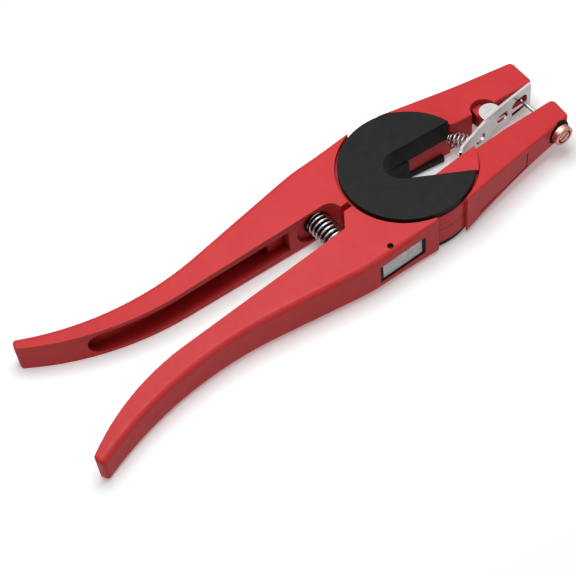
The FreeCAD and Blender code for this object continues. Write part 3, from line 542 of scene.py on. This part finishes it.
def window():
    """The grey plate in the front handle's window, and painted shadow under it and at its ends: a black piece
    filling the gaps round the plate.
    """
    low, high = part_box("window_plate")
    trim, bevel = 0.35 * MM, 0.15 * MM
    left, right = low.x + trim, high.x

    def rectangle(depth, inset):
        """The plate's outline at a depth, drawn in by the inset."""
        near, far, foot, top = left + inset, right - inset, low.z + inset, high.z - inset
        return [Vector((x, depth, z)) for x, z in ((near, foot), (far, foot), (far, top), (near, top))]

    rings = [rectangle(high.y, 0), rectangle(low.y + bevel, 0), rectangle(low.y, bevel)]
    plate = piece("window_sheet", *joined(rings_mesh(rings), rings_mesh(rings[:1])), SHEET, smooth=False)
    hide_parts("window_plate")
    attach(plate, "clip_half")

    # painted shadow: a black piece fills the gaps at the plate's ends and under it and stands a little out
    # from its face
    end_gap, foot_gap, lip = 1.06 * MM, 0.36 * MM, 0.65 * MM
    near, far, foot = low.x - end_gap, high.x + end_gap, low.z - foot_gap
    outline = ((near, high.z), (near, foot), (far, foot), (far, high.z),
               (right, high.z), (right, low.z), (left, low.z), (left, high.z))
    rings = [[Vector((x, depth, z)) for x, z in outline] for depth in (high.y, low.y - lip)]
    shadow_fill = piece("window_shadow_fill", *joined(rings_mesh(rings), rings_mesh(rings[:1])), RUBBER, smooth=False)
    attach(shadow_fill, "clip_half")


handle_spring()
clip_spring()
needle_knob()
socket_screws("upper_socket_screws", "upper_disc_screws", "clip_half")
socket_screws("lower_socket_screws", "lower_disc_screws", "needle_half")
window()


# ------------------------------------------------------------------ floor, light and camera

AMBIENT = 0.35  # the world's light on the object, as a share of what metal mirrors of it
FLOOR_BOUNCE = (0.36, 0.36, 0.36, 1)  # the ground as it lights the object
FLOOR_GLOW = 0.26  # its glow on the object, so that the underside shows
FLOOR_MIRRORED = (0.48, 0.48, 0.48, 1)  # the ground in the metal
FLOOR_SEEN = (1.03, 1.09, 1.09, 1)  # the ground to the camera, with the red's reflection evened out
FLOOR_SEEN_GLOW = 0.20
PLAIN_FROM, PLAIN_TO = 0.13, 0.24  # metres from the disc's edge between which it turns plain white


def floor():
    """A white ground that touches the lower disc's edge and the handles' ends. It keeps the shadow,
    turns plain white further out and is clear from below."""
    edge_x, ends_x, ends_z = -28 * MM, -168 * MM, 3.95 * MM
    slope = math.atan2(ends_z, edge_x - ends_x)
    bpy.ops.mesh.primitive_plane_add(size=6.0)
    plane = bpy.context.object
    plane.name = "floor"
    plane.matrix_world = Matrix.Translation((edge_x, 0, 0)) @ Matrix.Rotation(slope, 4, "Y")
    material = bpy.data.materials.new("floor_white")
    material.use_nodes = True
    material.node_tree.nodes.clear()
    nodes = Nodes(material.node_tree)

    place = nodes.add("ShaderNodeTexCoord").outputs["Object"]
    distance = nodes.add("ShaderNodeVectorMath", {0: place}, operation="LENGTH").outputs["Value"]
    away = nodes.remap(distance, (PLAIN_FROM, PLAIN_TO), interpolation_type="SMOOTHSTEP")
    rays = nodes.add("ShaderNodeLightPath").outputs
    colour = nodes.mix("colour", rays["Is Glossy Ray"], FLOOR_BOUNCE, FLOOR_MIRRORED)
    colour = nodes.mix("colour", rays["Is Camera Ray"], colour, FLOOR_SEEN)
    matt = nodes.add("ShaderNodeBsdfDiffuse", {"Color": colour}).outputs[0]

    def glowing(strength):
        """The matt ground with a glow of its own."""
        glow = nodes.add("ShaderNodeEmission", {"Strength": strength}).outputs[0]
        return nodes.add("ShaderNodeAddShader", {0: matt, 1: glow}).outputs[0]

    plain = nodes.add("ShaderNodeEmission").outputs[0]
    seen = nodes.mix("shader", away, glowing(FLOOR_SEEN_GLOW), plain)
    above = nodes.mix("shader", rays["Is Camera Ray"], glowing(FLOOR_GLOW), seen)
    below = nodes.add("ShaderNodeBsdfTransparent").outputs[0]
    backface = nodes.add("ShaderNodeNewGeometry").outputs["Backfacing"]
    nodes.add("ShaderNodeOutputMaterial", {"Surface": nodes.mix("shader", backface, above, below)})
    plane.data.materials.append(material)


def world():
    """Pale surroundings: white where seen, and otherwise bright above and dimmer towards the horizon."""
    studio = bpy.data.worlds.new("studio")
    bpy.context.scene.world = studio
    studio.use_nodes = True
    nodes = Nodes(studio.node_tree)
    place = nodes.add("ShaderNodeTexCoord").outputs["Generated"]
    up = nodes.add("ShaderNodeSeparateXYZ", {0: place}).outputs["Z"]
    mirrored = nodes.remap(up, (0.0, 0.7), (0.22, 1.0))
    ambient = nodes.add("ShaderNodeMath", {0: mirrored, 1: AMBIENT}, operation="MULTIPLY").outputs[0]
    rays = nodes.add("ShaderNodeLightPath").outputs
    unseen = nodes.mix("number", rays["Is Glossy Ray"], ambient, mirrored)
    strength = nodes.mix("number", rays["Is Camera Ray"], unseen, 1.0)
    nodes.feed(nodes.tree.nodes["Background"], {"Color": (1, 1, 1, 1), "Strength": strength})


def softbox(name, place, aim, side, power):
    """A square lamp at a place, turned to a point."""
    data = bpy.data.lights.new(name, "AREA")
    data.shape = "SQUARE"
    data.size = side
    data.energy = power
    lamp = bpy.data.objects.new(name, data)
    bpy.context.collection.objects.link(lamp)
    lamp.location = place
    lamp.rotation_euler = (Vector(aim) - Vector(place)).to_track_quat("-Z", "Y").to_euler()


def camera():
    """The photographed view: from the handles' side, well above, rolled a little."""
    place = Vector((-254.05, -322.98, 521.1)) * MM
    aim = Vector((-69.27, -10.64, 10.9)) * MM
    roll = math.radians(-8.164)
    ahead = (aim - place).normalized()
    level = ahead.cross(Z).normalized()
    above = level.cross(ahead)
    right = level * math.cos(roll) + above * math.sin(roll)
    up = above * math.cos(roll) - level * math.sin(roll)
    data = bpy.data.cameras.new("camera")
    data.sensor_width = 36
    data.lens = 100
    data.clip_start = 0.01
    data.clip_end = 20
    view = bpy.data.objects.new("camera", data)
    bpy.context.collection.objects.link(view)
    view.matrix_world = Matrix((
        (right.x, up.x, -ahead.x, place.x),
        (right.y, up.y, -ahead.y, place.y),
        (right.z, up.z, -ahead.z, place.z),
        (0, 0, 0, 1),
    ))
    bpy.context.scene.camera = view


floor()
world()
softbox("top_light", place=(-0.03, 0.06, 0.42), aim=(-0.03, 0, 0), side=0.30, power=1.29)
camera()
bpy.context.scene.view_settings.view_transform = "Standard"
